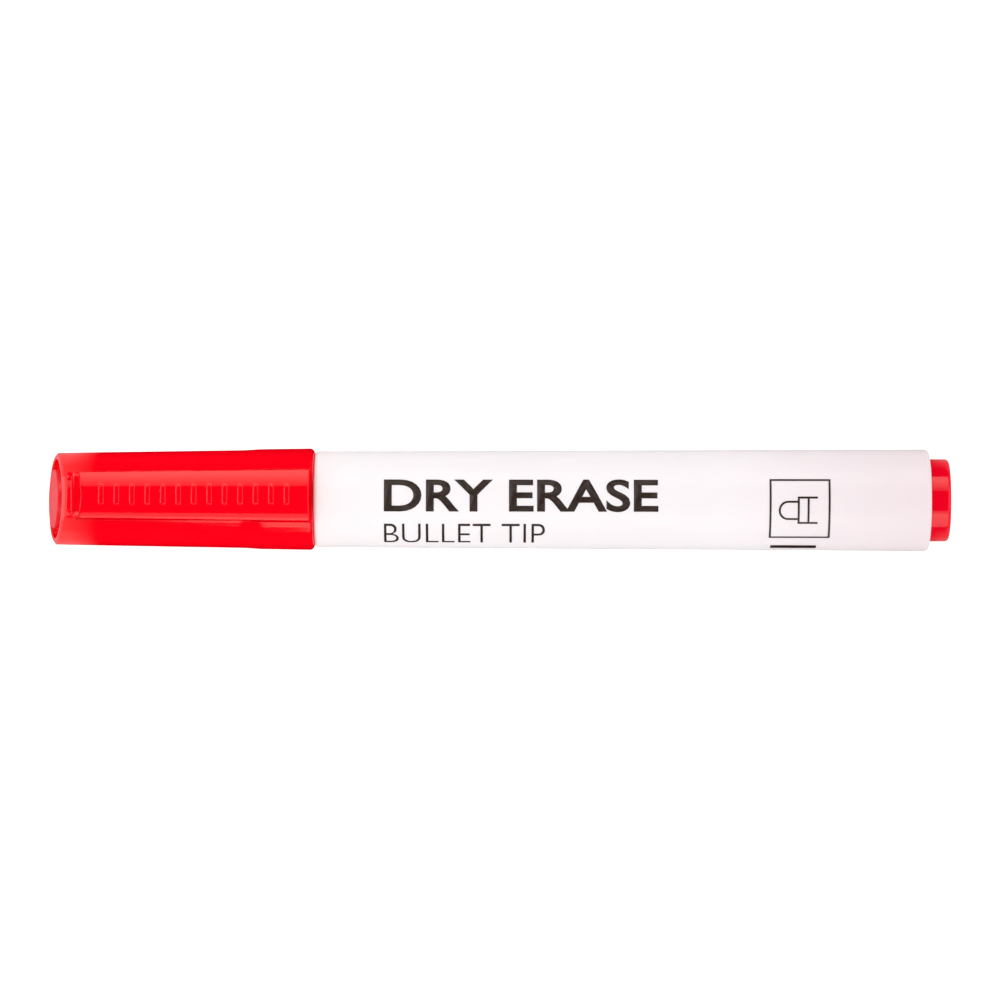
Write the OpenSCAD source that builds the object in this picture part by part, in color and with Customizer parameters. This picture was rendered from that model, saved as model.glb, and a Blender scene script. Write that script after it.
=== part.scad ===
// Whiteboard marker, lying on a table with its clip on top.
// The marker's axis runs along X: closed end of the cap at -X, end plug at +X.
// The origin is on the table, under the middle of the marker.
// Each part is first drawn upright: Z is the distance from the closed end of the cap and
// +X is the clip's side. lay_down() then turns it over to its place.

/* [Cap] */
// Length of the cap, closed end to mouth
cap_l = 41.3; // [40:0.1:46]
// Diameter of the cap at its closed end
cap_end_d = 14.1; // [14:0.1:14.4]
// Diameter of the tapered cap at its mouth, under the band
cap_mouth_d = 15.4; // [15.2:0.1:15.8]
// Height of the band that thickens the mouth
band_h = 0.12; // [0.05:0.01:0.2]
// Length of the band
band_l = 8; // [5:0.5:12]
// Slant of the closed end towards the clip, in degrees
end_tilt = 13.5; // [8:0.5:16]
// Diameter of the recess in the closed end
recess_d = 12.2; // [11.6:0.1:12.3]
// Depth of the recess in the closed end
recess_depth = 1.1; // [0.8:0.1:1.6]
// Diameter of the inner cap's boss, which shows in the recess
boss_d = 9; // [8.4:0.1:9.4]
// How far the boss stands out past the rim
boss_out = 0.35; // [0.2:0.05:0.9]
// Number of vent slots around the boss
vents = 4; // [2:1:6]

/* [Clip] */
// Width of the clip at its root
clip_root_w = 7; // [6:0.1:7.4]
// Width of the clip at its free end
clip_tip_w = 7.9; // [6.5:0.1:8]
// Thickness of the clip at its crest
clip_t = 1.1; // [0.9:0.05:1.4]
// Gap between the clip and the flat on the cap
clip_gap = 0.95; // [0.85:0.05:1.05]
// Number of raised grip bars on the clip
bars = 13; // [5:1:16]

/* [Barrel] */
// Visible length of the barrel
barrel_l = 94.3; // [85:0.1:110]
// Diameter at the front shoulder
barrel_front_d = 14.8; // [14.6:0.1:15.2]
// Diameter at the rear
barrel_rear_d = 15.7; // [15.6:0.1:16.4]
// Wall thickness
wall_t = 1.4; // [1.2:0.1:1.5]
// Diameter of the neck, which goes into the cap
neck_d = 11.8; // [11.6:0.05:12]
// Length of the neck
neck_l = 11; // [9:0.5:12]

/* [Nib] */
// Diameter of the nib
nib_d = 4.8; // [4:0.1:5.2]
// Length of nib that stands out of its holder
nib_out = 5.4; // [4:0.1:6]
// Radius of the nib's rounded point
nib_point_r = 1.5; // [1:0.1:1.9]

/* [End plug] */
// Diameter of the stub that shows
plug_d = 12.7; // [12:0.1:12.7]
// Length of the stub that shows
plug_out = 3.1; // [2:0.1:5]

/* [Hidden] */
$fn = 96;
// Larger than any part of the cap, for cutters that must reach past it
big = 60;
// How far other cutters reach past a face
over = 1;
red = [0.93, 0.02, 0.08];
white = [0.96, 0.94, 0.95];

// Fits
slide_fit = 0.08;
press_fit = 0.01;
cap_seat_gap = 0.15;
liner_gap = 0.3;

// Stations along the axis, from the closed end of the cap
shoulder_z = cap_l + cap_seat_gap;
rear_z = shoulder_z + barrel_l;
overall_l = rear_z + plug_out;
axis_h = barrel_rear_d / 2;

// Cap
rim_z = cap_end_d / 2 * tan(end_tilt) - 0.33;
rim_r = cap_end_d / 2 + 0.12;
rim_chamfer = 0.5;
// Lowest point of the slanted rim, the marker's foremost point
front_z = rim_z - (rim_r - rim_chamfer) * sin(end_tilt);
edge_r = 0.75;
band_slope_l = 3;
cap_bore_r = neck_d / 2 + slide_fit;
cap_bore_l = neck_l + 1;
cavity_r = 5.65;
end_wall_t = 1.3;
// Where the cap's outlines start before the slant trims them, and how long its cutters are
raw_z = -2;
end_cut_l = 12;
vent_w = 1.5;
vent_reach = 0.9;
taper = (cap_mouth_d - cap_end_d) / 2 / cap_l;
taper_a = atan(taper);

// Clip
hinge_z = 5.35;
hinge_h = 0.25;
hinge_r = 0.4;
hinge_fit = 0.06;
groove_w = 0.8;
root_z = rim_z + 2.2;
root_notch_w = 4.5;
root_notch_l = 0.85;
root_notch_h = 0.35;
root_corner_r = 0.2;
web_inset = 0.2;
clip_end_gap = 0.55;
clip_corner_r = 0.3;
clip_sink = 0.1;
clip_end_draft = 8;
bump_gap = 0.08;
bump_r = 0.6;
bump_l = 4.4;
bump_z = cap_l - 3;
bar_w = 0.7;
bar_l = 2.8;
bar_h = 0.1;
bars_start = 9;
bars_end = cap_l - 4;

// Neck, nib holder and nib
neck_bore_r = 4.9;
neck_chamfer = 0.4;
neck_z = shoulder_z - neck_l;
bead_h = 0.05;
bead_l = 0.8;
bead_z = shoulder_z - 3;
flange_t = 1.2;
flange_r = 5.5;
land_r = 4.6;
land_l = 5.2;
land_z = neck_z - flange_t - land_l;
cone_l = 4.2;
nose_z = land_z - cone_l;
nose_r = 3.4;
nose_chamfer = 0.3;
holder_skirt_l = 7;
air_slot_w = 0.9;
air_slot_depth = 0.6;
air_slot_sink = 0.2;
nib_z = nose_z - nib_out;
nib_tail_l = 5;
nib_tail_r = 1.4;
nib_end_z = shoulder_z + 5;
nib_cone_l = 2.8;
nib_full_l = 4;
nib_cone_drop = 0.25;

// Inner cap
liner_z = neck_z - flange_t - liner_gap;
liner_wall = 0.8;
liner_cavity_r = nose_r + 0.6;
liner_floor_z = 3.8;
liner_collar_z = 7.4;
liner_step_z = liner_collar_z + 0.9;
liner_collar_r = 4.95;
liner_flare_l = 2;
liner_nose_gap = 0.5;
liner_ribs = 4;
liner_rib_w = 1;
liner_rib_sink = 0.2;
seal_z = land_z - 0.4;
boss_chamfer = 0.25;

// Reservoir and barrel hollow
film_t = 0.12;
core_r = 5.4;
film_inner_r = core_r + press_fit;
film_r = film_inner_r + film_t;
core_z = shoulder_z + 1.3;
chamber_z = shoulder_z + 0.6;
chamber_slope_l = 1;
chamber_front_r = barrel_front_d / 2 - wall_t;
socket_r = barrel_rear_d / 2 - wall_t;
socket_l = 6.5;
ledge_w = 0.25;
ledge_z = rear_z - socket_l;
core_end_z = ledge_z - 1.2;
film_inset = 0.5;
fins = 6;
fin_w = 1;
fin_sink = 0.3;
rear_edge_r = 0.7;

// End plug
plug_skirt_r = socket_r - 0.35;
plug_wall = 1.2;
plug_floor_t = 1.5;
plug_edge_r = 0.6;
plug_lead_w = 0.2;
plug_lead_l = 0.4;
ring_start = 1.4;
ring_pitch = 2;
ring_l = 0.8;
ring_h = socket_r - press_fit - plug_skirt_r;
cross_w = 8;
cross_t = 1;

// Points on an arc round centre c, from angle a to angle b
function arc(c, r, a, b, steps = 6) =
    [for (i = [0:steps]) c + r * [cos(a + (b - a) * i / steps), sin(a + (b - a) * i / steps)]];

// Radius of the tapered cap at station z, without the band
function cap_r(z) = cap_end_d / 2 + taper * z;

// Moves an upright part to its place on the table
module lay_down() {
    translate([-(overall_l + front_z) / 2, 0, axis_h]) rotate([0, 90, 0]) rotate([0, 0, 180]) children();
}

// Everything on the mouth side of a plane that slants with the closed end
module beyond_slant(z) {
    translate([0, 0, z]) rotate([0, -end_tilt, 0]) translate([-big / 2, -big / 2, 0]) cube(big);
}

// Everything further from the axis than a plane that follows the cap's taper on the clip's side
module above_taper(offset) {
    translate([cap_r(0) + offset, 0, 0]) rotate([0, taper_a, 0])
        translate([0, -big / 2, -big / 4]) cube(big);
}

// The clip seen from above, extruded outwards from the axis
module clip_plan(from_z, to_z, corner_r) {
    slope = (clip_tip_w - clip_root_w) / 2 / (cap_l - hinge_z);
    w_from = clip_root_w / 2 + slope * (from_z - hinge_z);
    w_to = clip_root_w / 2 + slope * (to_z - hinge_z);
    rotate([0, -90, 0]) translate([0, 0, -big / 4]) linear_extrude(big / 4) union() {
        polygon([[from_z, -w_from], [to_z - corner_r, -w_to], [to_z, -w_to + corner_r],
                 [to_z, w_to - corner_r], [to_z - corner_r, w_to], [from_z, w_from]]);
        for (side = [-1, 1])
            translate([to_z - corner_r, side * (w_to - corner_r)]) circle(corner_r);
    }
}

// Solid cone that stands out from the tapered cap
module cap_cone(out) {
    cylinder(r1 = cap_r(0) + out, r2 = cap_r(cap_l) + out, h = cap_l);
}

module cap_shell() {
    flat_z = hinge_z - groove_w / 2;
    mouth_r = cap_r(cap_l) + band_h;
    band_z = cap_l - band_l;
    outline = concat(
        [[0, raw_z], [cap_r(raw_z), raw_z], [cap_r(band_z - band_slope_l), band_z - band_slope_l],
         [cap_r(band_z) + band_h, band_z]],
        arc([mouth_r - edge_r, cap_l - edge_r], edge_r, 0, 90),
        [[0, cap_l]]);
    color(red) lay_down() difference() {
        union() {
            intersection() {
                rotate_extrude() polygon(outline);
                translate([0, 0, rim_z]) rotate([0, -end_tilt, 0]) rotate_extrude()
                    polygon([[0, 0], [rim_r - rim_chamfer, 0], [rim_r, rim_chamfer],
                             [big, big], [0, big]]);
            }
            // Root block of the clip
            intersection() {
                cap_cone(clip_t - clip_sink);
                clip_plan(0, flat_z, root_corner_r);
                beyond_slant(root_z - cap_r(0) * tan(end_tilt));
            }
        }
        // Notch in the front of the root block
        translate([cap_r(hinge_z) + root_notch_h, -root_notch_w / 2, 0])
            cube([big, root_notch_w, root_z + root_notch_l]);
        // Groove that the clip's root sits in
        translate([cap_r(hinge_z) + hinge_h, 0, hinge_z]) rotate([90, 0, 0])
            cylinder(r = hinge_r + hinge_fit, h = big, center = true);
        // Flat under the clip
        intersection() {
            above_taper(-clip_gap - clip_sink);
            translate([0, -big / 2, flat_z]) cube(big);
        }
        // Bore that the neck slides in, then the narrower cavity
        translate([0, 0, cap_l - cap_bore_l]) cylinder(r = cap_bore_r, h = cap_bore_l + over);
        intersection() {
            cylinder(r = cavity_r, h = cap_l);
            beyond_slant(rim_z + recess_depth + end_wall_t);
        }
        // Recess, boss hole and vents of the closed end
        difference() {
            translate([0, 0, raw_z - over]) cylinder(d = recess_d, h = end_cut_l);
            beyond_slant(rim_z + recess_depth);
        }
        translate([0, 0, raw_z - over]) cylinder(r = boss_d / 2 + press_fit, h = end_cut_l);
        for (i = [0:vents - 1]) rotate([0, 0, (i + 0.5) * 360 / vents])
            translate([boss_d / 2 - over, -vent_w / 2, 0])
                cube([over + vent_reach, vent_w, end_cut_l]);
    }
}

module inner_cap() {
    mouth_r = land_r + slide_fit + liner_wall;
    profile = [[0, raw_z], [boss_d / 2, raw_z], [boss_d / 2, liner_collar_z],
        [liner_collar_r, liner_collar_z], [liner_collar_r, seal_z - liner_flare_l],
        [mouth_r, seal_z], [mouth_r, liner_z], [land_r + slide_fit, liner_z],
        [land_r + slide_fit, seal_z], [liner_cavity_r, nose_z - liner_nose_gap],
        [liner_cavity_r, liner_step_z], [boss_d / 2 - liner_wall, liner_step_z],
        [boss_d / 2 - liner_wall, liner_floor_z], [0, liner_floor_z]];
    rib_reach = cavity_r - press_fit;
    color(red) lay_down() intersection() {
        union() {
            rotate_extrude() polygon(profile);
            intersection() {
                translate([0, 0, liner_collar_z])
                    cylinder(r = rib_reach, h = seal_z - liner_collar_z);
                difference() {
                    for (i = [0:liner_ribs - 1]) rotate([0, 0, i * 360 / liner_ribs])
                        translate([0, -liner_rib_w / 2, 0]) cube([big, liner_rib_w, cap_l]);
                    cylinder(r = liner_collar_r - liner_rib_sink, h = cap_l);
                }
            }
        }
        // Slanted, chamfered face of the boss
        translate([0, 0, rim_z - boss_out / cos(end_tilt)]) rotate([0, -end_tilt, 0])
            rotate_extrude() polygon([[0, 0], [boss_d / 2 - boss_chamfer, 0],
                                      [boss_d / 2 + big, boss_chamfer + big], [0, big]]);
    }
}

module pocket_clip() {
    end_z = cap_l - clip_end_gap;
    panel_z = hinge_z + groove_w / 2;
    hinge_x = cap_r(hinge_z) + hinge_h;
    web_w = clip_root_w - 2 * web_inset;
    bar_step = (bars_end - bars_start) / (bars - 1);
    color(red) lay_down() {
        difference() {
            union() {
                // Panel
                intersection() {
                    cap_cone(clip_t - clip_sink);
                    clip_plan(panel_z, end_z, clip_corner_r);
                    above_taper(-clip_sink);
                }
                // Thin web and round root that the clip bends on
                intersection() {
                    translate([hinge_x - hinge_r, -web_w / 2, hinge_z])
                        cube([2 * hinge_r, web_w, groove_w]);
                    above_taper(-clip_sink);
                }
                translate([hinge_x, 0, hinge_z]) rotate([90, 0, 0])
                    cylinder(r = hinge_r, h = web_w, center = true);
                // Bump that grips the pocket
                translate([cap_r(bump_z) - clip_sink - clip_gap + bump_gap + bump_r, 0, bump_z])
                    rotate([90, 0, 0]) cylinder(r = bump_r, h = bump_l, center = true);
                // Grip bars
                intersection() {
                    cap_cone(clip_t - clip_sink + bar_h);
                    above_taper(0);
                    for (i = [0:bars - 1])
                        translate([cap_r(0), -bar_l / 2, bars_start + i * bar_step - bar_w / 2])
                            cube([big, bar_l, bar_w]);
                }
            }
            // Draft on the free end
            translate([cap_r(end_z) - clip_sink, 0, end_z]) rotate([0, -clip_end_draft, 0])
                translate([-big / 2, -big / 2, 0]) cube(big);
        }
    }
}

module barrel() {
    neck_r = neck_d / 2;
    front_r = barrel_front_d / 2;
    rear_r = barrel_rear_d / 2;
    outline = concat(
        [[neck_bore_r, neck_z], [neck_r - neck_chamfer, neck_z], [neck_r, neck_z + neck_chamfer],
         [neck_r, bead_z], [neck_r + bead_h, bead_z + bead_l / 2], [neck_r, bead_z + bead_l],
         [neck_r, shoulder_z]],
        arc([front_r - edge_r, shoulder_z + edge_r], edge_r, -90, 0),
        arc([rear_r - rear_edge_r, rear_z - rear_edge_r], rear_edge_r, 0, 90),
        [[socket_r, rear_z], [socket_r, ledge_z], [socket_r - ledge_w, ledge_z],
         [chamber_front_r, chamber_z + chamber_slope_l], [neck_bore_r, chamber_z],
         [neck_bore_r, neck_z]]);
    color(white) lay_down() {
        rotate_extrude() polygon(outline);
        // Fins that centre the reservoir and leave room for air
        difference() {
            for (i = [0:fins - 1]) rotate([0, 0, (i + 0.5) * 360 / fins])
                translate([film_r - fin_sink, -fin_w / 2, core_z])
                    cube([socket_r - ledge_w - film_r + 2 * fin_sink, fin_w, core_end_z - core_z]);
            translate([0, 0, core_z - over])
                cylinder(r = film_r + press_fit, h = core_end_z - core_z + 2 * over);
        }
    }
}

module end_plug() {
    stub_r = plug_d / 2;
    outline = concat(
        [[0, rear_z - plug_floor_t], [plug_skirt_r - plug_wall, rear_z - plug_floor_t],
         [plug_skirt_r - plug_wall, ledge_z + press_fit],
         [plug_skirt_r - plug_lead_w, ledge_z + press_fit], [plug_skirt_r, ledge_z + plug_lead_l]],
        // Two seal rings
        [for (i = [0, 1], p = [[0, 0], [1, 0.5], [0, 1]])
            [plug_skirt_r + p[0] * ring_h, ledge_z + ring_start + i * ring_pitch + p[1] * ring_l]],
        [[plug_skirt_r, rear_z], [stub_r, rear_z]],
        arc([stub_r - plug_edge_r, overall_l - plug_edge_r], plug_edge_r, 0, 90),
        [[0, overall_l]]);
    color(red) lay_down() {
        rotate_extrude() polygon(outline);
        // Cross that holds the reservoir forward
        for (a = [0, 90]) rotate([0, 0, a])
            translate([-cross_w / 2, -cross_t / 2, core_end_z + press_fit])
                cube([cross_w, cross_t, rear_z - plug_floor_t - core_end_z]);
    }
}

module nib_holder() {
    skirt_r = neck_bore_r - press_fit;
    profile = [[nib_d / 2 + press_fit, nose_z], [nose_r - nose_chamfer, nose_z],
        [nose_r, nose_z + nose_chamfer],
        [land_r, land_z], [land_r, neck_z - flange_t], [flange_r, neck_z - flange_t],
        [flange_r, neck_z], [skirt_r, neck_z], [skirt_r, neck_z + holder_skirt_l],
        [nib_d / 2 + press_fit, neck_z + holder_skirt_l]];
    color(white) lay_down() difference() {
        rotate_extrude() polygon(profile);
        // Slots that let air in beside the nib
        for (a = [0, 180]) rotate([0, 0, a])
            translate([nib_d / 2 - air_slot_sink, -air_slot_w / 2, nose_z - over])
                cube([air_slot_sink + air_slot_depth, air_slot_w,
                      neck_z + holder_skirt_l - nose_z + 2 * over]);
    }
}

// The nib's outline, grown by a clearance
function nib_outline(grow = 0) = let(r = nib_d / 2) concat(
    [[0, nib_z]],
    arc([0, nib_z + nib_point_r], nib_point_r, -85, -20, 8),
    [[r - nib_cone_drop, nib_z + nib_cone_l], [r, nib_z + nib_full_l],
     [r + grow, nib_end_z - nib_tail_l], [nib_tail_r + grow, nib_end_z], [0, nib_end_z + grow]]);

module nib() {
    color([0.75, 0.05, 0.1]) lay_down() rotate_extrude() polygon(nib_outline());
}

module ink_reservoir() {
    color([0.85, 0.3, 0.35]) lay_down() difference() {
        translate([0, 0, core_z]) cylinder(r = core_r, h = core_end_z - core_z);
        rotate_extrude() polygon(nib_outline(press_fit));
    }
}

module reservoir_film() {
    length = core_end_z - core_z - 2 * film_inset;
    color([0.9, 0.9, 0.95]) lay_down() translate([0, 0, core_z + film_inset]) difference() {
        cylinder(r = film_r, h = length);
        translate([0, 0, -over]) cylinder(r = film_inner_r, h = length + 2 * over);
    }
}

barrel();
end_plug();
nib_holder();
nib();
ink_reservoir();
reservoir_film();
cap_shell();
inner_cap();
pocket_clip();
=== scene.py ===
import math

import bmesh
import bpy
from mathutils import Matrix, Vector


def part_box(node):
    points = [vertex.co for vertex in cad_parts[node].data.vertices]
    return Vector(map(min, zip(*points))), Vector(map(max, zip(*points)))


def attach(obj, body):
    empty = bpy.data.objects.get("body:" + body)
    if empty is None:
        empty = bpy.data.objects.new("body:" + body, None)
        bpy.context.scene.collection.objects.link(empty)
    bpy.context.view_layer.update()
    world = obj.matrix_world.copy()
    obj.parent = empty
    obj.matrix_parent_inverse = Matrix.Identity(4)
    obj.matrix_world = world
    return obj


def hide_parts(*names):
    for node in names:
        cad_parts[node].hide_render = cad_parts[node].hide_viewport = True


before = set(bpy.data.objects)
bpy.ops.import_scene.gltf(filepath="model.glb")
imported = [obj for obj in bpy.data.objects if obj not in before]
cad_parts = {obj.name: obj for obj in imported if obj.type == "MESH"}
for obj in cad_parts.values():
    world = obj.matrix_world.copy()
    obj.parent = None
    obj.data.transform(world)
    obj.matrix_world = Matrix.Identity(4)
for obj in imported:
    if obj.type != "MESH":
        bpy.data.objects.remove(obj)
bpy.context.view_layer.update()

MM = 0.001

# Where the marker lies: stations run from the cap's closed end towards the plug, in mm
OVERALL = 138.85
BARREL_LO, BARREL_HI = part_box("barrel")
X0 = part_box("end_plug")[1].x / MM - OVERALL
AXIS_Z = (BARREL_LO.z + BARREL_HI.z) / 2 / MM

# Barrel's outside, from its front to its rear, and the ink's height over it and root below it
SKIRT_S, SKIRT_L = 42.6, 92.1
BARREL_FRONT_R, BARREL_FLARE = 7.41, 0.435
INK_HEIGHT, INK_ROOT = 0.012, 0.03

# Cap
TILT = math.tan(math.radians(13.5))
CAP_L = 41.3
CAP_END_R = 7.05
TAPER = 0.65 / CAP_L
BAND_H, BAND_START, BAND_FULL = 0.12, 30.3, 33.3
RIM_S = 1.3625
RECESS_DEPTH, END_WALL = 1.1, 1.3
BOSS_S = 1.005
BOSS_DISH = 0.085
CLIP_CREST = 1.0
CLIP_UNDER = 0.1
UNDER_CLIP = -1.05
HINGE_S = 5.35
ROOT_S = 1.87
GROOVE_S = 4.95
PANEL_S = 5.93
CLIP_END = 40.75
BUMP_S = 38.3
BARS = 13
BAR_FIRST, BAR_LAST = 9.0, 37.3
BAR_HEIGHT = 0.095
# Where, in degrees from the clip's line, the cap's columns crowd for the edge of the flat under the clip
EDGE_ANGLE = 31.2


def cap_r(s):
    return CAP_END_R + TAPER * s


def cap_surface(s):
    """Radius of the cap's outside, with its slightly proud band at the mouth."""
    return cap_r(s) + BAND_H * smooth(s, (BAND_START + BAND_FULL) / 2, BAND_FULL - BAND_START)


def smooth(value, edge, width):
    """0 below edge, 1 above it, easing over width."""
    t = min(max((value - edge) / width + 0.5, 0.0), 1.0)
    return t * t * (3 - 2 * t)


def soft_min(a, b, k):
    h = max(k - abs(a - b), 0.0) / k
    return min(a, b) - h * h * k / 4


def at(s, r, angle):
    """Point at station s, radius r and angle from the clip's side, in metres."""
    return Vector(((X0 + s) * MM, r * math.sin(angle) * MM, (AXIS_Z + r * math.cos(angle)) * MM))


def at_yz(s, y, up):
    return Vector(((X0 + s) * MM, y * MM, (AXIS_Z + up) * MM))


def uniform(count):
    return [2 * math.pi * i / count for i in range(count)]


def mesh_object(name, verts, faces):
    mesh = bpy.data.meshes.new(name)
    mesh.from_pydata(verts, [], faces)
    bm = bmesh.new()
    bm.from_mesh(mesh)
    bmesh.ops.recalc_face_normals(bm, faces=bm.faces)
    bm.to_mesh(mesh)
    bm.free()
    mesh.shade_smooth()
    obj = bpy.data.objects.new(name, mesh)
    bpy.context.scene.collection.objects.link(obj)
    return obj


def skin(name, rows, loop=False):
    """Closed surface through rows of points; a row of one point is a pole."""
    verts, starts = [], []
    for row in rows:
        starts.append(len(verts))
        verts.extend(row)
    faces = []
    pairs = [(i, i + 1) for i in range(len(rows) - 1)] + ([(len(rows) - 1, 0)] if loop else [])
    for a, b in pairs:
        na, nb = len(rows[a]), len(rows[b])
        for j in range(max(na, nb)):
            k = (j + 1) % max(na, nb)
            ring = [starts[a] + j % na, starts[a] + k % na, starts[b] + k % nb, starts[b] + j % nb]
            faces.append(list(dict.fromkeys(ring)))
    return mesh_object(name, verts, faces)


def rounded(points, loop=False, steps=5):
    """Outline (station, radius, fillet) with its corners rounded and a support point beside each fillet."""
    out, count = [], len(points)
    for i, (s, r, fillet) in enumerate(points):
        here = Vector((s, r))
        if fillet <= 0 or (not loop and i in (0, count - 1)):
            out.append((s, r))
            continue
        before = Vector(points[i - 1][:2]) - here
        after = Vector(points[(i + 1) % count][:2]) - here
        turn = before.angle(after)
        reach = min(fillet / math.tan(turn / 2), 0.45 * before.length, 0.45 * after.length)
        radius = reach * math.tan(turn / 2)
        middle = here + (before.normalized() + after.normalized()).normalized() * radius / math.sin(turn / 2)
        start = here + before.normalized() * reach
        end = here + after.normalized() * reach
        support = min(0.12, 0.1 * before.length)
        out.append(tuple(here + before.normalized() * (reach + support)))
        a0 = math.atan2(start.y - middle.y, start.x - middle.x)
        a1 = math.atan2(end.y - middle.y, end.x - middle.x)
        sweep = (a1 - a0 + math.pi) % (2 * math.pi) - math.pi
        for n in range(steps + 1):
            a = a0 + sweep * n / steps
            out.append((middle.x + radius * math.cos(a), middle.y + radius * math.sin(a)))
        support = min(0.12, 0.1 * after.length)
        out.append(tuple(here + after.normalized() * (reach + support)))
    return out


def lathe(name, outline, columns=128, loop=False):
    angles = uniform(columns)
    rows = []
    for s, r in outline:
        rows.append([at(s, 0, 0)] if r < 1e-6 else [at(s, r, a) for a in angles])
    return skin(name, rows, loop)


# ---------------------------------------------------------------- barrel, plug, nib

def make_barrel():
    neck = [(30.45, 4.9, 0.1), (30.45, 5.9, 0.35), (38.4, 5.9, 0.1), (38.85, 5.95, 0.2), (39.3, 5.9, 0.1),
            (41.31, 5.9, 0.1)]
    skirt = [(41.31, 7.4, 0.75)]
    length = 12
    for i in range(1, length):
        t = i / length
        skirt.append((SKIRT_S + SKIRT_L * t, BARREL_FRONT_R + BARREL_FLARE * t, 0))
    tail = [(135.75, 7.85, 0.7), (135.75, 6.45, 0.12), (129.25, 6.45, 0.05), (129.25, 6.2, 0.05),
            (43.05, 6.0, 0.1), (42.05, 4.9, 0.1)]
    return lathe("marker_barrel", rounded(neck + skirt + tail, loop=True), 144, loop=True)


def make_plug():
    outline = [(134.25, 0, 0), (134.25, 4.9, 0.1), (129.27, 4.9, 0.1), (129.27, 6.1, 0.25),
               (135.76, 6.1, 0.05), (135.76, 6.35, 0.05), (OVERALL, 6.35, 0.6), (OVERALL, 1.1, 0.12),
               (138.72, 0.9, 0.1), (138.72, 0, 0)]
    return lathe("marker_end_plug", rounded(outline), 128)


def make_nib():
    outline = [(14.45, 0, 0), (14.46, 0.35, 0.1), (14.75, 1.02, 0.3), (15.7, 1.5, 0.5), (17.25, 2.15, 0.5),
               (18.4, 2.4, 0.5), (41.45, 2.4, 0.3), (46.4, 1.42, 0.2), (46.4, 0, 0)]
    return lathe("marker_nib", rounded(outline), 96)


# ---------------------------------------------------------------- cap

def cap_angles():
    """Columns round the cap, close together where the clip's root, the flat and the vents have edges."""
    angles = set(round(a, 6) for a in uniform(120))
    fine = [15.0 + 0.35 * i for i in range(12)] + [24.0 + 0.4 * i for i in range(15)]
    fine += [EDGE_ANGLE + off for off in (-0.7, -0.4, -0.22, -0.1, 0, 0.1, 0.22, 0.4, 0.7)]
    for degrees in fine:
        for side in (1, -1):
            angles.add(round(math.radians(side * degrees) % (2 * math.pi), 6))
    for centre in (45, 135, 225, 315):
        for off in (-11, -10, -9.3, -8.7, -8, -7, -5, 0, 5, 7, 8, 8.7, 9.3, 10, 11):
            angles.add(round(math.radians(centre + off), 6))
    kept = []
    for a in sorted(angles):
        if not kept or a - kept[-1] > 0.0015:
            kept.append(a)
    return kept


def follow_edge(s, angle):
    """Angle shifted so that the columns at EDGE_ANGLE run along the edge of the flat under the clip."""
    signed = (angle + math.pi) % (2 * math.pi) - math.pi
    reach = 1 - abs(math.degrees(abs(signed)) - EDGE_ANGLE) / 12
    if reach <= 0:
        return angle
    edge = math.acos((cap_r(s) + UNDER_CLIP) / cap_surface(s))
    return angle + math.copysign((edge - math.radians(EDGE_ANGLE)) * reach, signed)


def cap_outer(s, sheared, angle):
    """Radius of the cap's outside, with the clip's root block and the flat under the clip."""
    base = cap_surface(s)
    cos, sin = math.cos(angle), abs(math.sin(angle))
    if cos < 0.5:
        return base
    flat = soft_min(base, (cap_r(s) + UNDER_CLIP) / cos, 0.015)
    y = base * sin
    crest = cap_r(s) + CLIP_CREST - 0.25 * max(1 - (sheared - ROOT_S) / 1.2, 0) ** 2
    notch = (1 - smooth(y, 2.25, 0.22)) * (1 - smooth(s, ROOT_S + 2.54, 0.12))
    top = crest * (1 - notch) + (cap_r(s) + 0.3) * notch
    block = max(base, soft_min(top, 3.5 / max(sin, 1e-3), 0.12))
    front = smooth(sheared, ROOT_S + 0.085, 0.11)
    behind = smooth(s, GROOVE_S, 0.07)
    return (base + (block - base) * front) * (1 - behind) + flat * behind


def cap_row(station, slant, radius, angles):
    """Row of points at a station; slant 1 follows the closed end's plane, 0 is square to the axis."""
    row = []
    for column in angles:
        r = CAP_END_R if callable(radius) else radius
        a = follow_edge(max(station, GROOVE_S), column) if callable(radius) else column
        for _ in range(4):
            s = station + slant * TILT * r * math.cos(a)
            if callable(radius):
                r = radius(s, s - TILT * r * math.cos(a), a)
        row.append(at(s, r, a))
    return row


def rim_flat(angle):
    """Outer radius of the rim's flat face, which narrows towards the side away from the clip."""
    return 6.66 + 0.17 * math.cos(angle)


def vent_hole(s, sheared, angle):
    """Radius of the hole round the boss, which reaches further out at the four vents."""
    turn = (math.degrees(angle) - 45) % 90
    off = math.radians(min(turn, 90 - turn))
    return 4.52 + 0.88 * (1 - smooth(off * 5.0, 0.75, 0.12))


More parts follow.
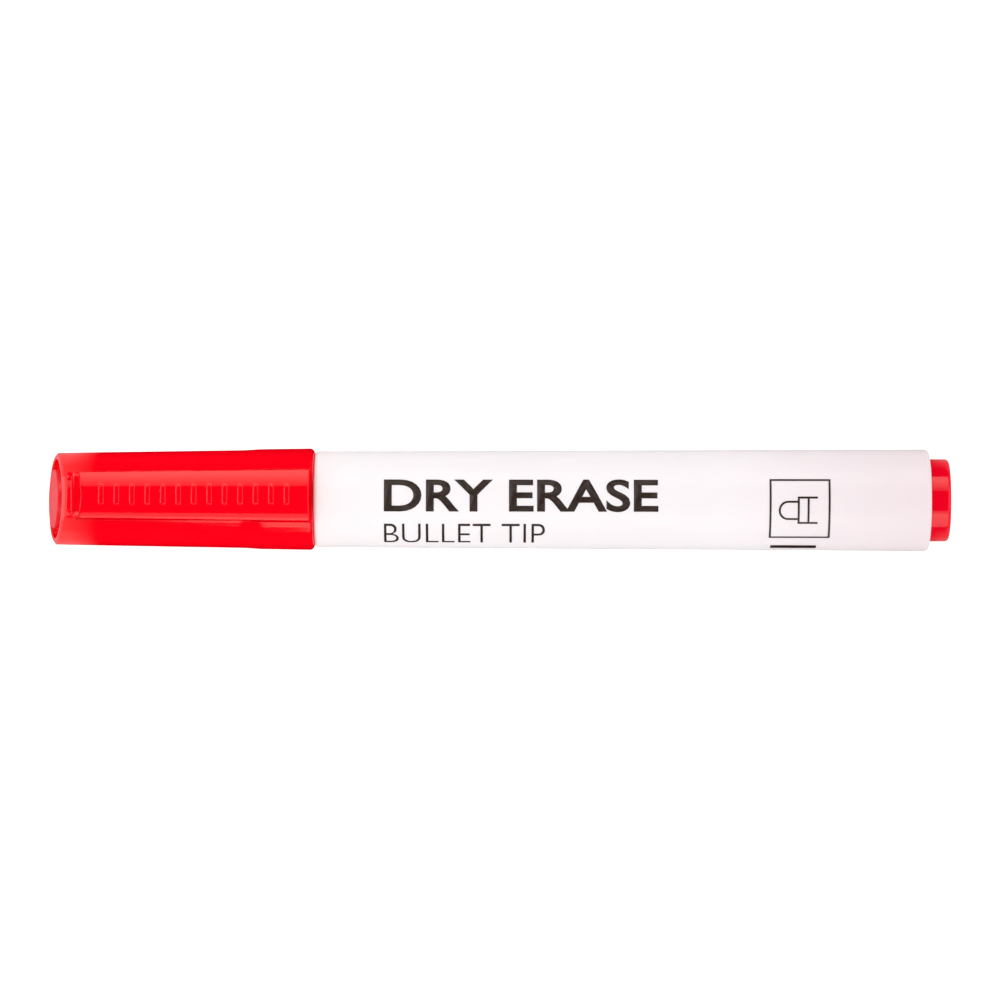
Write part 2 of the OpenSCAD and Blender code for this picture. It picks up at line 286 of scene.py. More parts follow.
def make_cap():
    angles = cap_angles()
    rows = []
    floor_s, inner_s = RIM_S + RECESS_DEPTH, RIM_S + RECESS_DEPTH + END_WALL
    # Recess floor, recess wall and rim
    for radius in (5.6, 5.9, 6.04, 6.09):
        rows.append(cap_row(floor_s - (0.02 if radius > 6.05 else 0), 1, radius, angles))
    for off, radius in ((RECESS_DEPTH - 0.12, 6.1), (0.6, 6.1), (0.22, 6.1), (0.1, 6.1), (0.03, 6.125),
                        (0, 6.18), (0, 6.24)):
        rows.append(cap_row(RIM_S + off, 1, radius, angles))
    for off, out in ((0, -0.1), (0, -0.04), (0.008, 0), (0.035, 0.035)):
        rows.append(cap_row(RIM_S + off, 1, lambda s, t, a, d=out: rim_flat(a) + d, angles))
    for off, drop in ((0.325, 0.03), (0.35, 0.014), (0.365, 0.004), (0.385, 0.0), (0.44, 0.0)):
        rows.append(cap_row(RIM_S + off, 1, lambda s, t, a, d=drop: cap_r(s) - d, angles))
    # Outside, to the mouth
    for off in (0.03, 0.05, 0.07, 0.09, 0.11, 0.14):
        rows.append(cap_row(ROOT_S + off, 1, cap_outer, angles))
    for station, slant in ((2.5, 0.75), (3.0, 0.5), (3.52, 0.25)):
        rows.append(cap_row(station, slant, cap_outer, angles))
    stations = [4.03, 4.15, 4.28, 4.34, 4.38, 4.41, 4.44, 4.48, 4.54, 4.7, 4.82]
    stations += [GROOVE_S + off for off in (-0.08, -0.035, -0.015, 0, 0.015, 0.035, 0.08, 0.25, 0.6)]
    stations += [6.3, 7.6, 9]
    stations += [10.5 + 1.9 * i for i in range(10)]
    stations += [29.4, 30.0, 30.6, 31.2, 31.8, 32.4, 33.0, 33.6, 34.6, 36, 37.5, 39, 40, 40.35]
    for station in stations:
        rows.append(cap_row(station, 0, cap_outer, angles))
    mouth_r = cap_r(CAP_L) + BAND_H
    edge, flat_edge = 0.75, 0.3

    def mouth(turn):
        def radius(s, t, a):
            full = mouth_r - edge + edge * math.cos(turn)
            past = max(s - (CAP_L - flat_edge), 0)
            return min(full, cap_outer(s, t, a) - flat_edge + math.sqrt(flat_edge ** 2 - past ** 2))
        return radius

    for n in range(0, 10):
        turn = math.pi / 2 * n / 9
        rows.append(cap_row(CAP_L - edge + edge * math.sin(turn), 0, mouth(turn), angles))
    rows.append(cap_row(CAP_L, 0, lambda s, t, a: min(6.7, mouth(math.pi / 2)(s, t, a) - 0.02), angles))
    for station, radius in ((CAP_L, 6.25), (CAP_L, 6.18), (CAP_L - 0.03, 6.1), (CAP_L - 0.12, 6.01),
                            (CAP_L - 0.25, 5.98), (38, 5.98), (34, 5.98), (30, 5.98), (29.4, 5.98),
                            (29.3, 5.96), (29.3, 5.7), (29.2, 5.65), (25, 5.65), (18, 5.65), (12, 5.65)):
        rows.append(cap_row(station, 0, radius, angles))
    for station, slant in ((8.5, 0.5), (inner_s + 0.3, 1), (inner_s + 0.1, 1)):
        rows.append(cap_row(station, slant, 5.65, angles))
    rows.append(cap_row(inner_s, 1, 5.57, angles))
    for off in (0, -0.1, -0.65, -1.2):
        rows.append(cap_row(inner_s + off, 1, vent_hole, angles))
    rows.append(cap_row(floor_s + 0.04, 1, vent_hole, angles))
    rows.append(cap_row(floor_s, 1, lambda s, t, a: vent_hole(s, t, a) + 0.05, angles))
    return skin("cap_shell_moulding", rows, loop=True)


def make_inner_cap():
    angles = []
    for i in range(4):
        angles += [math.radians(90 * i + d) for d in (-4.8, -5.3, -5.9, -4.2, 0, 4.2, 4.8, 5.3, 5.9)]
        angles += [math.radians(90 * i + d) for d in range(9, 82, 3)]
    angles = sorted(a % (2 * math.pi) for a in angles)

    def collar(radius, reach):
        def at_angle(s, t, a):
            turn = math.degrees(a) % 90
            off = math.radians(min(turn, 90 - turn))
            return radius + (reach - radius) * (1 - smooth(off * 5.6, 0.5, 0.1))
        return at_angle

    rows = [[at(BOSS_S + BOSS_DISH, 0, 0)]]
    for off, radius in ((BOSS_DISH, 1.5), (0.08, 2.6), (0.055, 3.3), (0.02, 3.7), (0.002, 4.0), (0, 4.22),
                        (0, 4.34), (0.008, 4.41), (0.03, 4.46), (0.065, 4.487), (0.11, 4.5), (0.2, 4.5),
                        (0.4, 4.5), (1.2, 4.5)):
        rows.append(cap_row(BOSS_S + off, 1, radius, angles))
    for station, slant in ((3.6, 0.5), (6, 0), (7.3, 0), (7.4, 0)):
        rows.append(cap_row(station, slant, 4.5, angles))
    rows.append(cap_row(7.4, 0, 4.9, angles))
    for station in (7.45, 7.6, 10, 14, 18, 21.4, 21.6):
        radius = 4.95 if station < 21.5 else 5.0
        rows.append(cap_row(station, 0, collar(radius, 5.63), angles))
    rows.append(cap_row(23.5, 0, collar(5.42, 5.63), angles))
    rows.append(cap_row(23.66, 0, collar(5.48, 5.63), angles))
    for station, radius in ((23.7, 5.48), (28.8, 5.48), (28.92, 5.45), (28.95, 5.35), (28.95, 4.82),
                            (28.92, 4.72), (28.8, 4.68), (24.0, 4.68), (23.65, 4.66), (19.35, 4.02),
                            (19.2, 4.0), (12, 4.0), (8.4, 4.0), (8.3, 3.95), (8.3, 3.72), (8.1, 3.7),
                            (4.1, 3.7), (3.9, 3.65), (3.8, 3.5)):
        rows.append(cap_row(station, 0, radius, angles))
    rows.append([at(3.8, 0, 0)])
    return skin("inner_cap_moulding", rows)


# ---------------------------------------------------------------- clip

def clip_section(half_w, bottom, top, edge):
    """Closed outline across the clip: bottom and top are heights over the axis for a side distance y."""
    right = [(half_w * i / 12, bottom(half_w * i / 12)) for i in range(12)]
    floor_edge, side_top = bottom(half_w), top(half_w)
    low = max(side_top - edge, floor_edge + 0.04)
    right += [(half_w - 0.02, floor_edge), (half_w, floor_edge + 0.02)]
    right += [(half_w, floor_edge + 0.02 + (low - floor_edge - 0.02) * f) for f in (0.33, 0.67, 1.0)]
    start, corner = Vector((half_w, low)), Vector((half_w, side_top))
    end = Vector((half_w - edge, top(half_w - edge)))
    for t in (0.2, 0.4, 0.6, 0.8, 1.0):
        right.append(tuple(start * (1 - t) ** 2 + corner * 2 * t * (1 - t) + end * t * t))
    outer = half_w - edge - 0.05
    for f in (0, 0.05, 0.15, 0.35, 0.6, 0.85):
        y = outer + (1.52 - outer) * f
        right.append((y, top(y)))
    for y in (1.47, 1.42, 1.38, 1.33, 1.2, 0.8, 0.4, 0.0):
        right.append((y, top(y)))
    return right + [(-y, up) for y, up in reversed(right[1:-1])]


def make_clip():
    bar_stations = [BAR_FIRST + (BAR_LAST - BAR_FIRST) * i / (BARS - 1) for i in range(BARS)]
    bump_middle = cap_r(BUMP_S) + UNDER_CLIP + 0.68

    def front_bow(y):
        """How far the panel's front edge reaches ahead of PANEL_S away from the middle."""
        return -0.3 * (min(abs(y), 3.2) / 2.9) ** 2

    def panel(s, lower=0.0, inset=0.0):
        """Section of the clip's panel at a station; lower and inset round its two ends."""
        half_w = 3.5 + 0.45 * (s - HINGE_S) / (CAP_L - HINGE_S)
        corner = s - (CLIP_END - 0.3)
        if corner > 0:
            half_w -= 0.3 - math.sqrt(max(0.09 - corner * corner, 0))
        half_w -= inset
        radius = cap_r(s) + CLIP_CREST
        under = cap_r(s) - CLIP_UNDER
        chord = abs(BUMP_S - s)
        bump = bump_middle - math.sqrt(max(0.36 - chord * chord, 0)) if chord <= 0.601 else under

        def top(y):
            on_bar = max(smooth(-abs(s - b), -0.35, 0.1) for b in bar_stations)
            raised = on_bar * (1 - smooth(abs(y), 1.4, 0.1))
            return math.sqrt(radius * radius - y * y) + BAR_HEIGHT * raised - lower

        def bottom(y):
            return under - (under - bump) * (1 - smooth(abs(y), 2.2, 0.16)) + lower * 0.3

        draft = math.tan(math.radians(8)) * smooth(s, CLIP_END - 0.5, 0.8)
        bow = 1 - smooth(s, 6.8, 1.6)
        return [at_yz(s - draft * (up - under) + bow * front_bow(y), y, up)
                for y, up in clip_section(half_w, bottom, top, 0.07)]

    def web(s, bow):
        """Section of the thin web, whose two ends rise to close the groove."""
        centre = cap_r(HINGE_S) + 0.25

        def top(y):
            return centre + 0.395 + 0.27 * smooth(abs(y), 3.0, 0.5)

        section = clip_section(3.48, lambda y: centre - 0.395, top, 0.12)
        return [at_yz(s + bow * front_bow(y), y, up) for y, up in section]

    def shrunk(row, by):
        middle = sum(row, Vector()) / len(row)
        return [p + (middle - p).normalized() * by * MM for p in row]

    rows = [[at_yz(GROOVE_S - 0.02, 0, cap_r(HINGE_S) + 0.25)]]
    for off, bow in ((-0.98, 0), (-0.9, 0), (-0.6, 0.3), (-0.3, 0.7), (-0.1, 0.95), (-0.03, 1)):
        rows.append(web(PANEL_S + off - 0.02, bow))
    rows.append(panel(PANEL_S, 0.07, 0.03))
    rows.append(panel(PANEL_S + 0.012, 0.03, 0.01))
    rows.append(panel(PANEL_S + 0.04, 0.008))
    stations = {6.03, 6.4, 7.2, 8.2, 37.69, 37.705, 37.76, 37.86, 38.02, 38.3, 38.58, 38.74, 38.84, 38.895,
                38.91, 39.6, 40.0, 40.3, 40.45, 40.53, 40.58}
    for b in bar_stations:
        for off in (-0.45, -0.4, -0.35, -0.3, -0.2, 0.2, 0.3, 0.35, 0.4, 0.45):
            stations.add(round(b + off, 4))
        stations.add(round(b + 1.18, 4))
    kept = []
    for s in sorted(stations):
        if not kept or s - kept[-1] > 0.012:
            kept.append(s)
    rows += [panel(s) for s in kept]
    for off, lower in ((0.12, 0.0), (0.08, 0.008), (0.045, 0.03), (0.02, 0.06), (0.005, 0.1)):
        rows.append(panel(CLIP_END - off, lower))
    rows.append(shrunk(rows[-1], 0.03))
    rows.append([sum(rows[-1], Vector()) / len(rows[-1])])
    return skin("pocket_clip_moulding", rows)


# ---------------------------------------------------------------- print on the barrel

def barrel_r(s):
    return BARREL_FRONT_R + BARREL_FLARE * (s - SKIRT_S) / SKIRT_L


def wrap_print(name, flats):
    """Closed thin solids on the barrel from polygons of (station, distance round from the clip's line)."""
    bm = bmesh.new()
    for flat in flats:
        bm.faces.new([bm.verts.new((x, y, 0)) for x, y in flat])
    bmesh.ops.remove_doubles(bm, verts=bm.verts[:], dist=0.0001)
    return finish_print(name, bm)


def finish_print(name, bm):
    """Solids of ink from a flat bmesh: cut so that they can curve, thickened, wrapped on the barrel."""
    lows = min(v.co.y for v in bm.verts)
    highs = max(v.co.y for v in bm.verts)
    step = 0.3
    cut = lows + step
    while cut < highs:
        everything = bm.verts[:] + bm.edges[:] + bm.faces[:]
        bmesh.ops.bisect_plane(bm, geom=everything, plane_co=(0, cut, 0), plane_no=(0, 1, 0))
        cut += step
    made = bmesh.ops.extrude_face_region(bm, geom=bm.faces[:])
    for item in made["geom"]:
        if isinstance(item, bmesh.types.BMVert):
            item.co.z = 1
    for v in bm.verts:
        lift = INK_HEIGHT if v.co.z > 0.5 else -INK_ROOT
        s, r = v.co.x, barrel_r(v.co.x) + lift
        v.co = at(s, r, v.co.y / barrel_r(s))
    bmesh.ops.recalc_face_normals(bm, faces=bm.faces)
    mesh = bpy.data.meshes.new(name)
    bm.to_mesh(mesh)
    bm.free()
    obj = bpy.data.objects.new(name, mesh)
    bpy.context.scene.collection.objects.link(obj)
    return obj


def lettering(name, text, left, right, base, cap_height, weight):
    """Generic words set in Blender's own font, fitted between two stations."""
    curve = bpy.data.curves.new(name, "FONT")
    curve.body = text
    curve.offset = weight
    curve.resolution_u = 6
    holder = bpy.data.objects.new(name, curve)
    bpy.context.scene.collection.objects.link(holder)
    bpy.context.view_layer.update()
    flat = bpy.data.meshes.new_from_object(holder.evaluated_get(bpy.context.evaluated_depsgraph_get()))
    bpy.data.objects.remove(holder)
    bm = bmesh.new()
    bm.from_mesh(flat)
    bpy.data.meshes.remove(flat)
    bmesh.ops.remove_doubles(bm, verts=bm.verts, dist=1e-5)
    x_low, x_high = min(v.co.x for v in bm.verts), max(v.co.x for v in bm.verts)
    y_low, y_high = min(v.co.y for v in bm.verts), max(v.co.y for v in bm.verts)
    for v in bm.verts:
        v.co.x = left + (right - left) * (v.co.x - x_low) / (x_high - x_low)
        v.co.y = base + cap_height * (v.co.y - y_low) / (y_high - y_low)
    return finish_print(name, bm)


def ring_strip(points, width):
    """Quads along an open or closed line of points, width wide."""
    quads = []
    count = len(points) - 1
    normals = []
    closed = (Vector(points[0]) - Vector(points[-1])).length < 1e-6
    for i in range(len(points)):
        before = Vector(points[i - 1 if i else (-2 if closed else 0)])
        after = Vector(points[(i + 1) if i < count else (1 if closed else count)])
        here = Vector(points[i])
        d0 = (here - before).normalized() if (here - before).length > 1e-9 else (after - here).normalized()
        d1 = (after - here).normalized() if (after - here).length > 1e-9 else d0
        n0, n1 = Vector((-d0.y, d0.x)), Vector((-d1.y, d1.x))
        mid = (n0 + n1).normalized()
        normals.append(mid / max(mid.dot(n0), 0.5))
    for i in range(count):
        a, b = Vector(points[i]), Vector(points[i + 1])
        na, nb = normals[i] * width / 2, normals[i + 1] * width / 2
        quads.append([tuple(a - na), tuple(b - nb), tuple(b + nb), tuple(a + na)])
    return quads


def nib_sign():
    """Framed sign that shows a bullet nib, drawn as a plain outline."""
    left, right, low, high = 111.1, 120.1, -7.0, 2.5
    line = 0.31
    flats = ring_strip([(left, low), (right, low), (right, high), (left, high), (left, low)], line)
    middle = (low + high) / 2
    nib = [(118.3, middle + 2.0), (115.4, middle + 2.0), (115.4, middle + 1.35)]
    nib += [(113.75 - 1.25 * math.cos(math.radians(a)), middle + 1.35 * math.sin(math.radians(a)))
            for a in range(90, -91, -15)]
    nib += [(115.4, middle - 1.35), (115.4, middle - 2.0), (118.3, middle - 2.0)]
    flats += ring_strip(nib, line)
    flats += ring_strip([(115.4, middle - 1.35), (115.4, middle + 1.35)], line)
    flats += ring_strip([(116.9, middle - 2.0), (116.9, middle + 2.0)], line)
    return flats


def line_sample():
    """Stroke as wide as the line that the nib writes."""
    return ring_strip([(111.3 + 7 * i / 12, -9.75) for i in range(13)], 1.1)


# ---------------------------------------------------------------- materials

def nodes_of(name):
    material = bpy.data.materials.new(name)
    material.use_nodes = True
    tree = material.node_tree
    return material, tree, tree.nodes["Principled BSDF"]


def noise(tree, scale, detail=3.0, stretch=(1, 1, 1)):
    coords = tree.nodes.new("ShaderNodeTexCoord")
    mapping = tree.nodes.new("ShaderNodeMapping")
    mapping.inputs["Scale"].default_value = stretch
    texture = tree.nodes.new("ShaderNodeTexNoise")
    texture.inputs["Scale"].default_value = scale
    texture.inputs["Detail"].default_value = detail
    tree.links.new(coords.outputs["Object"], mapping.inputs["Vector"])
    tree.links.new(mapping.outputs["Vector"], texture.inputs["Vector"])
    return texture.outputs["Fac"]


def spread(tree, value, low, high, from_low=0.3, from_high=0.7):
    node = tree.nodes.new("ShaderNodeMapRange")
    node.inputs["From Min"].default_value = from_low
    node.inputs["From Max"].default_value = from_high
    node.inputs["To Min"].default_value = low
    node.inputs["To Max"].default_value = high
    tree.links.new(value, node.inputs["Value"])
    return node.outputs["Result"]


def calculate(tree, operation, *operands):
    node = tree.nodes.new("ShaderNodeMath")
    node.operation = operation
    for socket, operand in zip(node.inputs, operands):
        if isinstance(operand, (int, float)):
            socket.default_value = operand
        else:
            tree.links.new(operand, socket)
    return node.outputs[0]


def ramp(tree, value, stops):
    node = tree.nodes.new("ShaderNodeValToRGB")
    elements = node.color_ramp.elements
    while len(elements) < len(stops):
        elements.new(0.5)
    for element, (position, colour) in zip(elements, stops):
        element.position = position
        element.color = (*colour, 1)
    tree.links.new(value, node.inputs["Fac"])
    return node.outputs["Color"]


def along(tree):
    """Station along the marker as a number from 0 at the cap's closed end to 1 at the plug's face."""
    coords = tree.nodes.new("ShaderNodeTexCoord")
    split = tree.nodes.new("ShaderNodeSeparateXYZ")
    tree.links.new(coords.outputs["Object"], split.inputs["Vector"])
    return spread(tree, split.outputs["X"], 0, 1, X0 * MM, (X0 + OVERALL) * MM)


def bump(tree, shader, value, strength, distance):
    node = tree.nodes.new("ShaderNodeBump")
    node.inputs["Strength"].default_value = strength
    node.inputs["Distance"].default_value = distance
    tree.links.new(value, node.inputs["Height"])
    tree.links.new(node.outputs["Normal"], shader.inputs["Normal"])


def painted_reflection_mask(tree):
    """Mask of a painted reflection: 1 on the cap's outside by its closed end; 0 a few mm on, in the recess
    and on the clip's root.
    """
    coords = tree.nodes.new("ShaderNodeTexCoord")
    split = tree.nodes.new("ShaderNodeSeparateXYZ")
    tree.links.new(coords.outputs["Object"], split.inputs["Vector"])
    height = calculate(tree, "SUBTRACT", split.outputs["Z"], AXIS_Z * MM)
    radius = calculate(tree, "SQRT", calculate(tree, "ADD", calculate(tree, "POWER", height, 2.0),
                                               calculate(tree, "POWER", split.outputs["Y"], 2.0)))
    outside = spread(tree, radius, 0, 1, 0.0062, 0.0064)
    under_block = spread(tree, radius, 1, 0, 0.00722, 0.00732)
    near_end = spread(tree, split.outputs["X"], 1, 0, (X0 + 3.4) * MM, (X0 + 8.0) * MM)
    return calculate(tree, "MULTIPLY", calculate(tree, "MULTIPLY", outside, under_block), near_end)


def plastic(name, stops, rough, grain_scale=900, grain=0.000004, ior=1.5, scatter=0.0, painted_reflection_colour=None):
    """Moulded plastic: colour along the marker, uneven gloss, faint orange peel, and, when a colour for it is
    given, a painted reflection on the cap's outside by its closed end.
    """
    material, tree, shader = nodes_of(name)
    colour = ramp(tree, along(tree), stops)
    if painted_reflection_colour:
        # Painted reflection: the colour is blended towards a pale pink on the cap's outside by its closed end
        painted_reflection_mix = tree.nodes.new("ShaderNodeMix")
        painted_reflection_mix.data_type = "RGBA"
        tree.links.new(painted_reflection_mask(tree), painted_reflection_mix.inputs["Factor"])
        tree.links.new(colour, painted_reflection_mix.inputs["A"])
        painted_reflection_mix.inputs["B"].default_value = (*painted_reflection_colour, 1)
        colour = painted_reflection_mix.outputs["Result"]
    tint = tree.nodes.new("ShaderNodeMix")
    tint.data_type = "RGBA"
    tint.blend_type = "MULTIPLY"
    tint.inputs["Factor"].default_value = 1.0
    tree.links.new(colour, tint.inputs["A"])
    flow = ramp(tree, noise(tree, 140, 2.0, (0.35, 1, 1)), [(0.3, (0.975, 0.975, 0.975)), (0.7, (1, 1, 1))])
    tree.links.new(flow, tint.inputs["B"])
    tree.links.new(tint.outputs["Result"], shader.inputs["Base Color"])
    tree.links.new(spread(tree, noise(tree, 420, 4.0), rough * 0.85, rough * 1.2), shader.inputs["Roughness"])
    shader.inputs["IOR"].default_value = ior
    if scatter:
        shader.inputs["Subsurface Weight"].default_value = scatter
        shader.inputs["Subsurface Radius"].default_value = (0.0012, 0.0009, 0.0008)
        shader.inputs["Subsurface Scale"].default_value = 1.0
    bump(tree, shader, noise(tree, grain_scale, 2.0), 0.35, grain)
    return material


def make_materials():
    red = (0.98, 0.0, 0.0095)
    made = {}
    # Cap: red, with a pale pink painted reflection on its outside by its closed end
    made["cap_plastic"] = plastic("cap_plastic", [(0.0, red), (1.0, (0.97, 0.0, 0.0095))], 0.065,
                                  painted_reflection_colour=(0.97, 0.034, 0.04))
    made["liner_plastic"] = plastic(
        "liner_plastic", [(0.0, (0.92, 0.004, 0.02)), (1.0, (0.88, 0.004, 0.02))], 0.3)
    made["plug_plastic"] = plastic(
        "plug_plastic", [(0.0, (0.86, 0.004, 0.018)), (1.0, (0.86, 0.0, 0.016))], 0.085)
    white = (0.93, 0.885, 0.93)
    # Barrel: pinker at its front end, a painted red bounce of light from the cap; darker and pinker towards
    # the plug
    made["barrel_plastic"] = plastic(
        "barrel_plastic",
        [(0.295, (0.99, 0.88, 0.91)), (0.33, white), (0.75, (0.90, 0.85, 0.90)), (0.98, (0.83, 0.73, 0.78))],
        0.38, 1300, 0.000008, 1.46, 0.25)
    nose = (0.88, 0.86, 0.85)
    made["nose_plastic"] = plastic("nose_plastic", [(0.0, nose), (1.0, nose)], 0.4)

    material, tree, shader = nodes_of("nib_felt")
    fibres = noise(tree, 2600, 5.0, (0.12, 1, 1))
    colour = ramp(tree, fibres, [(0.3, (0.30, 0.005, 0.012)), (0.7, (0.62, 0.02, 0.04))])
    tree.links.new(colour, shader.inputs["Base Color"])
    shader.inputs["Roughness"].default_value = 0.85
    shader.inputs["Sheen Weight"].default_value = 0.3
    bump(tree, shader, fibres, 0.6, 0.00005)
    made["nib_felt"] = material

    material, tree, shader = nodes_of("reservoir_fibre")
    fibres = noise(tree, 2200, 5.0, (0.08, 1, 1))
    colour = ramp(tree, fibres, [(0.3, (0.50, 0.02, 0.04)), (0.7, (0.78, 0.10, 0.12))])
    tree.links.new(colour, shader.inputs["Base Color"])
    shader.inputs["Roughness"].default_value = 0.9
    bump(tree, shader, fibres, 0.5, 0.00006)
    made["reservoir_fibre"] = material

    material, tree, shader = nodes_of("clear_film")
    shader.inputs["Base Color"].default_value = (0.9, 0.92, 0.94, 1)
    shader.inputs["Transmission Weight"].default_value = 0.9
    tree.links.new(spread(tree, noise(tree, 300, 3.0, (0.3, 1, 1)), 0.04, 0.15), shader.inputs["Roughness"])
    bump(tree, shader, noise(tree, 160, 2.0, (0.3, 1, 1)), 0.3, 0.00002)
    made["clear_film"] = material

    material, tree, shader = nodes_of("print_ink")
    patches = noise(tree, 1500, 4.0)
    colour = ramp(tree, patches, [(0.25, (0.016, 0.007, 0.005)), (0.8, (0.045, 0.018, 0.013))])
    tree.links.new(colour, shader.inputs["Base Color"])
    tree.links.new(spread(tree, patches, 0.35, 0.55), shader.inputs["Roughness"])
    bump(tree, shader, patches, 0.3, 0.000006)
    made["print_ink"] = material
    return made


# ---------------------------------------------------------------- assembly

MATERIALS = make_materials()


def dress(obj, slot_name, body=None, node=None):
    obj.data.materials.clear()
    obj.data.materials.append(MATERIALS[slot_name])
    if body:
        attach(obj, body)
    if node:
        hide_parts(node)
    return obj


dress(make_barrel(), "barrel_plastic", "pen", "barrel")
dress(make_plug(), "plug_plastic", "pen", "end_plug")
dress(make_nib(), "nib_felt", "pen", "nib")
dress(make_cap(), "cap_plastic", "cap", "cap_shell")
dress(make_inner_cap(), "liner_plastic", "cap", "inner_cap")
dress(make_clip(), "cap_plastic", "clip", "pocket_clip")
for node, slot_name in (("nib_holder", "nose_plastic"), ("ink_reservoir", "reservoir_fibre"),
                        ("reservoir_film", "clear_film")):
    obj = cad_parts[node]
    obj.data.materials.clear()
    obj.data.materials.append(MATERIALS[slot_name])
    obj.data.shade_smooth()

dress(lettering("print_words_bold", "DRY ERASE", 52.1, 94.0, -2.53, 5.1, 0.022), "print_ink", "pen")
dress(lettering("print_words_light", "BULLET TIP", 52.1, 76.7, -8.66, 4.16, -0.012), "print_ink", "pen")
dress(wrap_print("print_nib_sign", nib_sign()), "print_ink", "pen")
dress(wrap_print("print_line_sample", line_sample()), "print_ink", "pen")

# ---------------------------------------------------------------- studio

LIGHT_DISTANCE = 0.9
WARM = (1.0, 0.99, 0.88)
PAPER = 0.38


def make_floor():
    size, cells = 3.0, 24
    steps = [-size + 2 * size * i / cells for i in range(cells + 1)]
    verts = [(x, y, 0) for y in steps for x in steps]
    row = cells + 1
    faces = [[j * row + i, j * row + i + 1, (j + 1) * row + i + 1, (j + 1) * row + i]
             for j in range(cells) for i in range(cells)]
    floor = mesh_object("studio_floor", verts, faces)
    material, tree, shader = nodes_of("studio_floor")
    shader.inputs["Base Color"].default_value = (0.93, 0.93, 0.93, 1)
    shader.inputs["Roughness"].default_value = 0.9
    output = tree.nodes["Material Output"]
    path = tree.nodes.new("ShaderNodeLightPath")

    def glow(strength):
        node = tree.nodes.new("ShaderNodeEmission")
        node.inputs["Color"].default_value = (1, 1, 1, 1)
        node.inputs["Strength"].default_value = strength
        return node

    def mixed(factor, first, second):
        node = tree.nodes.new("ShaderNodeMixShader")
        tree.links.new(factor, node.inputs[0])
        tree.links.new(first, node.inputs[1])
        tree.links.new(second, node.inputs[2])
        return node.outputs[0]

    add = tree.nodes.new("ShaderNodeAddShader")
    tree.links.new(shader.outputs[0], add.inputs[0])
    tree.links.new(glow(0.6).outputs[0], add.inputs[1])
    pale = tree.nodes.new("ShaderNodeBsdfDiffuse")
    pale.inputs["Color"].default_value = (0.85, 0.85, 0.85, 1)
    fill = tree.nodes.new("ShaderNodeAddShader")
    tree.links.new(pale.outputs[0], fill.inputs[0])
    tree.links.new(glow(0.3).outputs[0], fill.inputs[1])
    # What gloss picks up from the floor: dark beside the marker, pale paper past its two ends
    coords = tree.nodes.new("ShaderNodeTexCoord")
    split = tree.nodes.new("ShaderNodeSeparateXYZ")
    tree.links.new(coords.outputs["Object"], split.inputs["Vector"])
    aside = calculate(tree, "ABSOLUTE", split.outputs["Y"])
    front = calculate(tree, "MULTIPLY_ADD", aside, 0.12, split.outputs["X"])
    front = spread(tree, front, PAPER, 0.0, -0.0645, -0.0605)
    back = calculate(tree, "MULTIPLY_ADD", aside, -0.12, split.outputs["X"])
    back = spread(tree, back, 0.0, PAPER, 0.065, 0.068)
    paper = glow(1.0)
    tree.links.new(calculate(tree, "ADD", front, back), paper.inputs["Strength"])
    seen = mixed(path.outputs["Is Glossy Ray"], fill.outputs[0], paper.outputs[0])
    seen = mixed(path.outputs["Is Camera Ray"], seen, add.outputs[0])
    tree.links.new(seen, output.inputs["Surface"])
    floor.data.materials.append(material)


def area_light(name, zenith, width, length, radiance, shift=0.0, colour=WARM, end_on=False):
    """Soft light turned to the marker; zenith is from straight up, + towards +Y, or +X when end_on."""
    data = bpy.data.lights.new(name, "AREA")
    data.shape = "RECTANGLE"
    data.size, data.size_y = (width, length) if end_on else (length, width)
    data.energy = radiance * math.pi * width * length
    data.color = colour
    light = bpy.data.objects.new(name, data)
    a = math.radians(zenith)
    side, up = LIGHT_DISTANCE * math.sin(a), LIGHT_DISTANCE * math.cos(a)
    light.location = (side, shift, up) if end_on else (shift, side, up)
    light.rotation_euler = (0, a, 0) if end_on else (-a, 0, 0)
    bpy.context.scene.collection.objects.link(light)


def strip_width(low, high):
    """Width of a strip that spans two zenith angles, seen from the marker."""
    return 2 * LIGHT_DISTANCE * math.tan(math.radians((high - low) / 2))


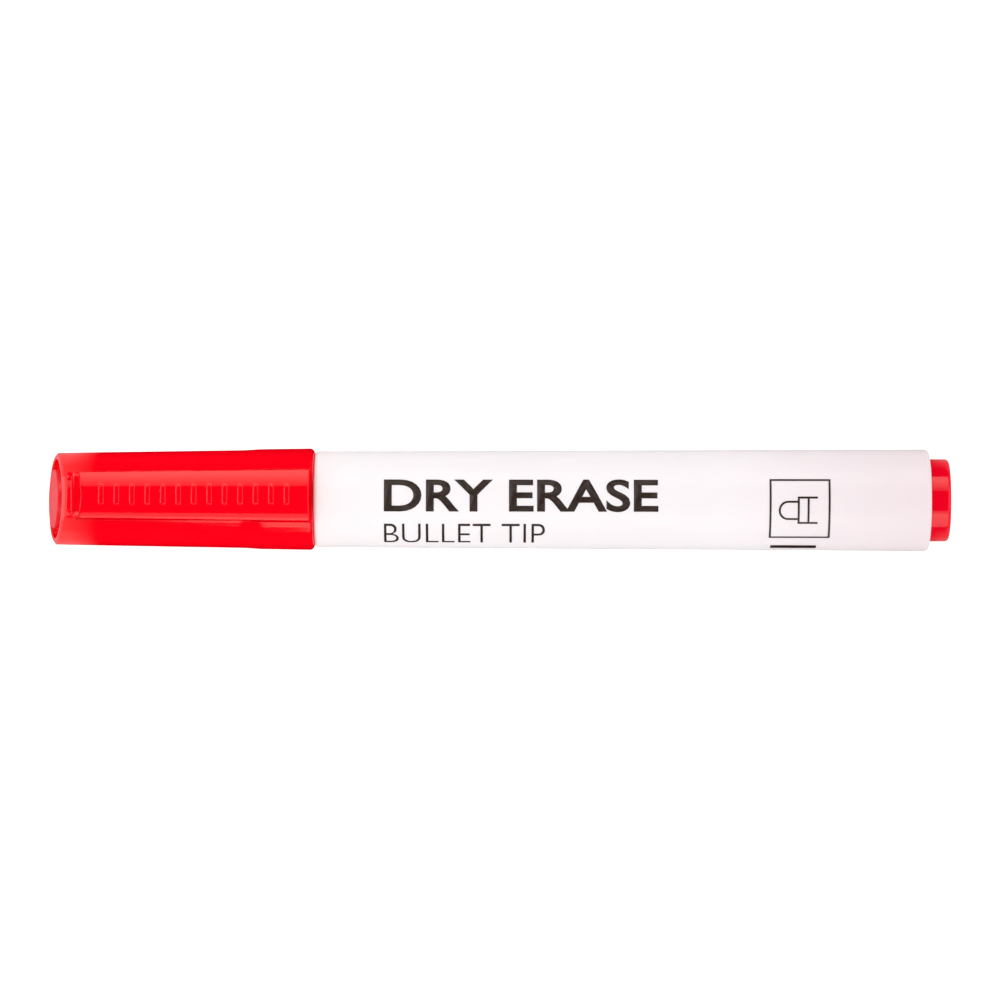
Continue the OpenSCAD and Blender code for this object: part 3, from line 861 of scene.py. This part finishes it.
def make_world():
    world = bpy.data.worlds.new("studio")
    bpy.context.scene.world = world
    world.use_nodes = True
    tree = world.node_tree
    path = tree.nodes.new("ShaderNodeLightPath")
    previous = tree.nodes["Background"]
    previous.inputs["Strength"].default_value = 0.0
    for kind, colour, strength in (("Is Diffuse Ray", (1, 0.99, 1), 0.46), ("Is Camera Ray", (1, 1, 1), 1.0)):
        background = tree.nodes.new("ShaderNodeBackground")
        background.inputs["Color"].default_value = (*colour, 1)
        background.inputs["Strength"].default_value = strength
        mix = tree.nodes.new("ShaderNodeMixShader")
        tree.links.new(path.outputs[kind], mix.inputs[0])
        tree.links.new(previous.outputs[0], mix.inputs[1])
        tree.links.new(background.outputs[0], mix.inputs[2])
        previous = mix
    tree.links.new(previous.outputs[0], tree.nodes["World Output"].inputs["Surface"])


def make_camera():
    data = bpy.data.cameras.new("photo_camera")
    data.sensor_width = 36
    data.lens = 183.5
    camera = bpy.data.objects.new("photo_camera", data)
    lean, roll, distance = math.radians(4.7), 0.0018, 0.785
    back = Vector((math.sin(roll) * math.sin(lean), -math.cos(roll) * math.sin(lean), math.cos(lean)))
    camera.location = Vector((0.0005, -0.00007, AXIS_Z * MM)) + distance * back
    camera.rotation_euler = (lean, 0, roll)
    bpy.context.scene.collection.objects.link(camera)
    bpy.context.scene.camera = camera


make_floor()
make_world()
make_camera()
# Far softbox, fainter towards its upper edge; near softbox, whose low parts start further along the marker
FAR_STRIPS = ((22, 27, 0.6), (27, 32, 0.8), (32, 38, 1.2), (38, 44, 1.6), (44, 64, 2.05))
NEAR_STRIPS = ((34, 42, 0.85), (42, 52, 2.0))
LOW_END = 0.7
for low, high, radiance in FAR_STRIPS:
    area_light(f"far_strip_{low:.0f}", (low + high) / 2, strip_width(low, high), 0.95, radiance, 0.175)
for low, high, radiance in NEAR_STRIPS:
    area_light(f"near_strip_{low:.0f}", -(low + high) / 2, strip_width(low, high), 0.95, radiance, 0.175)
for low, high, start, radiance in ((52, 62, -0.13, 1.7), (62, 72, -0.107, 1.7), (72, 84, -0.085, 1.3)):
    area_light(f"near_low_{low:.0f}", -(low + high) / 2, strip_width(low, high), LOW_END - start, radiance,
               (LOW_END + start) / 2)
area_light("light_cap_end", -65, 1.0, 1.0, 1.8, 0.0, (1, 1, 1), True)
area_light("light_plug_end", 62, 0.9, 0.9, 0.9, 0.0, (1, 1, 1), True)
bpy.context.scene.view_settings.view_transform = "Standard"
